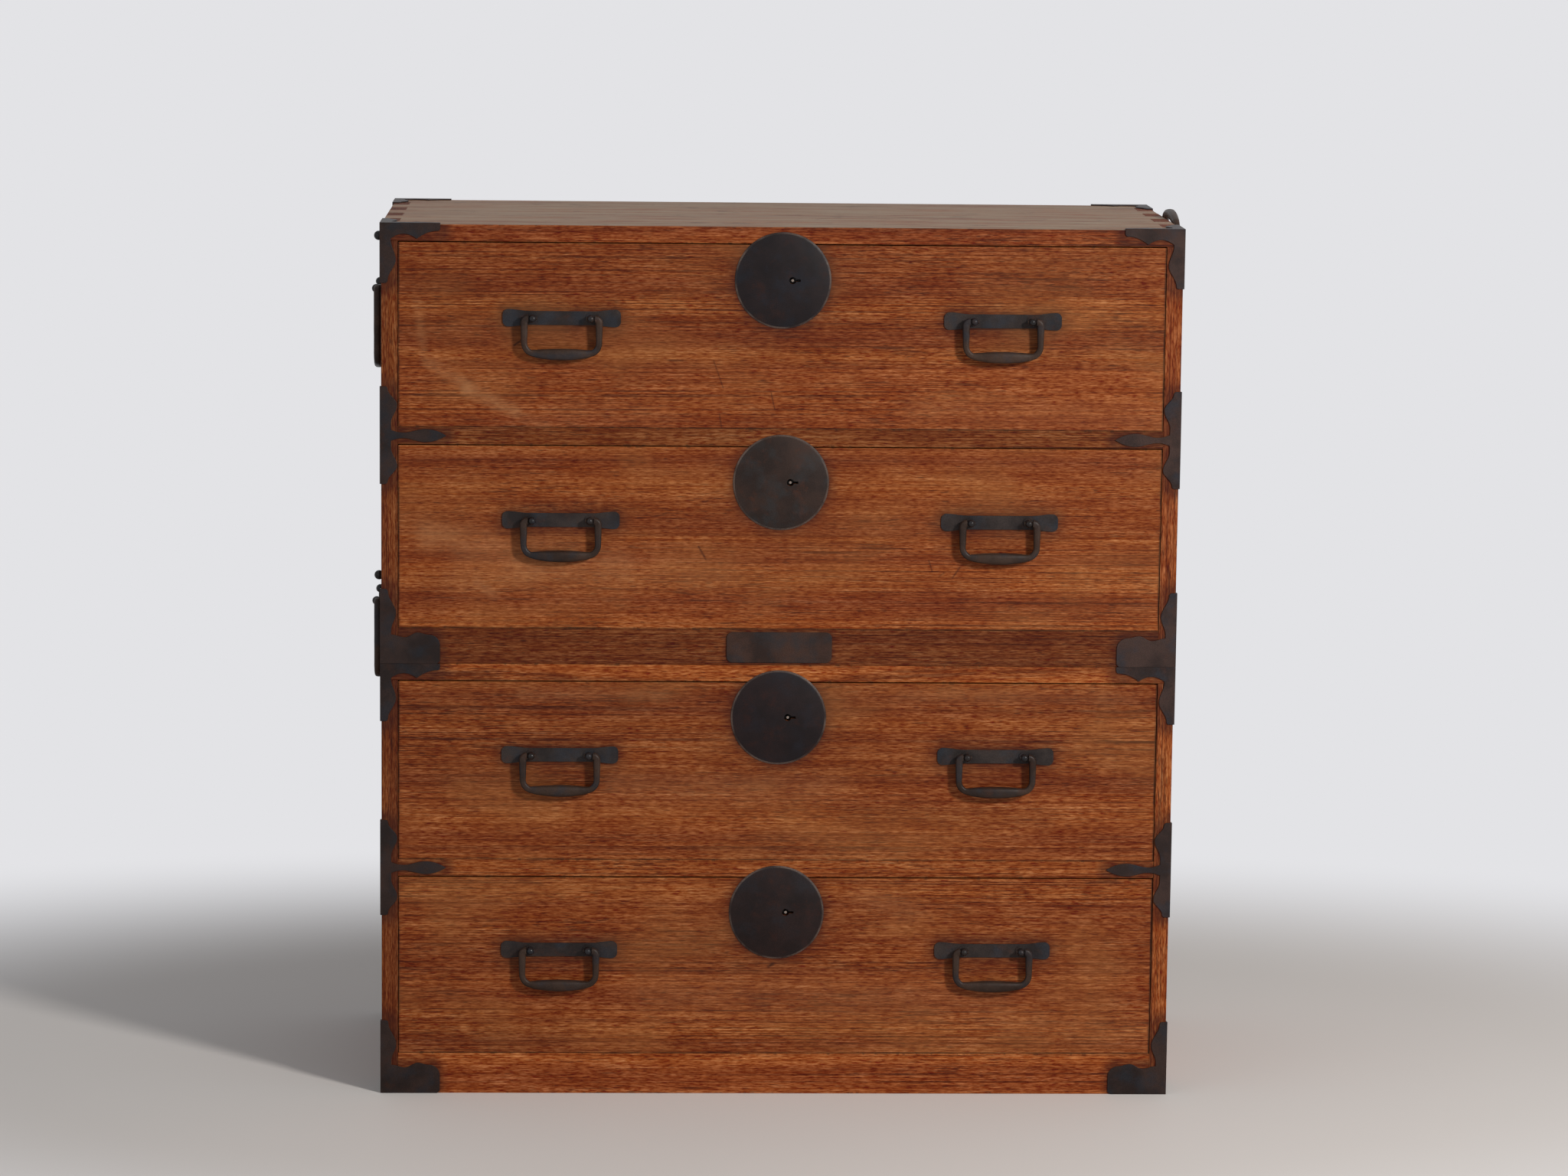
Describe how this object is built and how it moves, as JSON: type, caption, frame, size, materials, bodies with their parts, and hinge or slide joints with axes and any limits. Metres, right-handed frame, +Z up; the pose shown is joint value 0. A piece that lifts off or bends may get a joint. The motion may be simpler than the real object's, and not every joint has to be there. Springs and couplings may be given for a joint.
{
  "type": "stacking tansu chest of drawers",
  "caption": "Clothing chest in two stacking wooden cases with full-width drawers, iron corner plates, round lock plates, swinging drawer pulls and side carrying handles.",
  "frame": {"origin": "middle of the lower case's underside, on the floor, under the middle batten", "axes": "+X to the right of someone facing the drawers, +Y to the back, +Z up; drawers open along -Y"},
  "size_m": [0.9314, 0.4119, 1.0024],
  "materials": {
    "case_wood": "orange-brown conifer wood with straight grain, rubbed with clear lacquer, worn",
    "back_wood": "unfinished thin boards, aged",
    "inner_wood": "unfinished pale wood",
    "iron": "forged sheet and rod, black lacquer worn to grey-brown"
  },
  "bodies": {
    "lower_case": {"lower_case_sides": "case_wood", "lower_case_top": "case_wood", "lower_case_bottom": "inner_wood", "lower_case_rails": "case_wood", "lower_case_dust_board": "inner_wood", "lower_case_back": "back_wood", "lower_case_irons": "iron"},
    "upper_case": {"upper_case_sides": "case_wood", "upper_case_top": "case_wood", "upper_case_bottom": "inner_wood", "upper_case_rails": "case_wood", "upper_case_dust_board": "inner_wood", "upper_case_back": "back_wood", "upper_case_irons": "iron", "rail_plate": "iron", "side_handle_fittings": "iron"},
    "drawer_1": {"drawer_1_front": "case_wood", "drawer_1_sides": "inner_wood", "drawer_1_back": "inner_wood", "drawer_1_bottom": "inner_wood", "drawer_1_lock_plate": "iron", "drawer_1_lock_case": "iron", "drawer_1_pull_fittings": "iron"},
    "drawer_1_bolt": {"drawer_1_lock_bolt": "iron"},
    "drawer_1_pull_left": {"drawer_1_pull_left": "iron"},
    "drawer_1_pull_right": {"drawer_1_pull_right": "iron"},
    "drawer_2": {"drawer_2_front": "case_wood", "drawer_2_sides": "inner_wood", "drawer_2_back": "inner_wood", "drawer_2_bottom": "inner_wood", "drawer_2_lock_plate": "iron", "drawer_2_lock_case": "iron", "drawer_2_pull_fittings": "iron"},
    "drawer_2_bolt": {"drawer_2_lock_bolt": "iron"},
    "drawer_2_pull_left": {"drawer_2_pull_left": "iron"},
    "drawer_2_pull_right": {"drawer_2_pull_right": "iron"},
    "drawer_3": {"drawer_3_front": "case_wood", "drawer_3_sides": "inner_wood", "drawer_3_back": "inner_wood", "drawer_3_bottom": "inner_wood", "drawer_3_lock_plate": "iron", "drawer_3_lock_case": "iron", "drawer_3_pull_fittings": "iron"},
    "drawer_3_bolt": {"drawer_3_lock_bolt": "iron"},
    "drawer_3_pull_left": {"drawer_3_pull_left": "iron"},
    "drawer_3_pull_right": {"drawer_3_pull_right": "iron"},
    "drawer_4": {"drawer_4_front": "case_wood", "drawer_4_sides": "inner_wood", "drawer_4_back": "inner_wood", "drawer_4_bottom": "inner_wood", "drawer_4_lock_plate": "iron", "drawer_4_lock_case": "iron", "drawer_4_pull_fittings": "iron"},
    "drawer_4_bolt": {"drawer_4_lock_bolt": "iron"},
    "drawer_4_pull_left": {"drawer_4_pull_left": "iron"},
    "drawer_4_pull_right": {"drawer_4_pull_right": "iron"},
    "side_handle_upper_left": {"side_handle_upper_left": "iron"},
    "side_handle_upper_right": {"side_handle_upper_right": "iron"},
    "side_handle_lower_left": {"side_handle_lower_left": "iron"},
    "side_handle_lower_right": {"side_handle_lower_right": "iron"}
  },
  "joints": [
    {"name": "upper_case_lift", "type": "slide", "parent": "lower_case", "child": "upper_case", "axis": [0, 0, 1], "range_m": [0, 0.25]},
    {"name": "drawer_1_slide", "type": "slide", "parent": "upper_case", "child": "drawer_1", "axis": [0, -1, 0], "range_m": [0, 0.3]},
    {"name": "drawer_1_bolt_lift", "type": "slide", "parent": "drawer_1", "child": "drawer_1_bolt", "axis": [0, 0, 1], "range_m": [0, 0.01]},
    {"name": "drawer_1_pull_left_swing", "type": "hinge", "parent": "drawer_1", "child": "drawer_1_pull_left", "pos_m": [-0.247, -0.2065, 0.8888], "axis": [-1, 0, 0], "range_deg": [-3, 183]},
    {"name": "drawer_1_pull_right_swing", "type": "hinge", "parent": "drawer_1", "child": "drawer_1_pull_right", "pos_m": [0.247, -0.2065, 0.8888], "axis": [-1, 0, 0], "range_deg": [-3, 183]},
    {"name": "drawer_2_slide", "type": "slide", "parent": "upper_case", "child": "drawer_2", "axis": [0, -1, 0], "range_m": [0, 0.3]},
    {"name": "drawer_2_bolt_lift", "type": "slide", "parent": "drawer_2", "child": "drawer_2_bolt", "axis": [0, 0, 1], "range_m": [0, 0.01]},
    {"name": "drawer_2_pull_left_swing", "type": "hinge", "parent": "drawer_2", "child": "drawer_2_pull_left", "pos_m": [-0.247, -0.2065, 0.6613], "axis": [-1, 0, 0], "range_deg": [-3, 183]},
    {"name": "drawer_2_pull_right_swing", "type": "hinge", "parent": "drawer_2", "child": "drawer_2_pull_right", "pos_m": [0.247, -0.2065, 0.6613], "axis": [-1, 0, 0], "range_deg": [-3, 183]},
    {"name": "drawer_3_slide", "type": "slide", "parent": "lower_case", "child": "drawer_3", "axis": [0, -1, 0], "range_m": [0, 0.3]},
    {"name": "drawer_3_bolt_lift", "type": "slide", "parent": "drawer_3", "child": "drawer_3_bolt", "axis": [0, 0, 1], "range_m": [0, 0.01]},
    {"name": "drawer_3_pull_left_swing", "type": "hinge", "parent": "drawer_3", "child": "drawer_3_pull_left", "pos_m": [-0.247, -0.2065, 0.3933], "axis": [-1, 0, 0], "range_deg": [-3, 183]},
    {"name": "drawer_3_pull_right_swing", "type": "hinge", "parent": "drawer_3", "child": "drawer_3_pull_right", "pos_m": [0.247, -0.2065, 0.3933], "axis": [-1, 0, 0], "range_deg": [-3, 183]},
    {"name": "drawer_4_slide", "type": "slide", "parent": "lower_case", "child": "drawer_4", "axis": [0, -1, 0], "range_m": [0, 0.3]},
    {"name": "drawer_4_bolt_lift", "type": "slide", "parent": "drawer_4", "child": "drawer_4_bolt", "axis": [0, 0, 1], "range_m": [0, 0.01]},
    {"name": "drawer_4_pull_left_swing", "type": "hinge", "parent": "drawer_4", "child": "drawer_4_pull_left", "pos_m": [-0.247, -0.2065, 0.16805], "axis": [-1, 0, 0], "range_deg": [-3, 183]},
    {"name": "drawer_4_pull_right_swing", "type": "hinge", "parent": "drawer_4", "child": "drawer_4_pull_right", "pos_m": [0.247, -0.2065, 0.16805], "axis": [-1, 0, 0], "range_deg": [-3, 183]},
    {"name": "side_handle_upper_left_swing", "type": "hinge", "parent": "upper_case", "child": "side_handle_upper_left", "pos_m": [-0.459, 0, 0.9075], "axis": [0, 1, 0], "range_deg": [-3, 183]},
    {"name": "side_handle_upper_right_swing", "type": "hinge", "parent": "upper_case", "child": "side_handle_upper_right", "pos_m": [0.459, 0, 0.9075], "axis": [0, 1, 0], "range_deg": [0, 185]},
    {"name": "side_handle_lower_left_swing", "type": "hinge", "parent": "upper_case", "child": "side_handle_lower_left", "pos_m": [-0.459, 0, 0.546], "axis": [0, 1, 0], "range_deg": [-3, 183]},
    {"name": "side_handle_lower_right_swing", "type": "hinge", "parent": "upper_case", "child": "side_handle_lower_right", "pos_m": [0.459, 0, 0.546], "axis": [0, -1, 0], "range_deg": [-3, 183]}
  ]
}
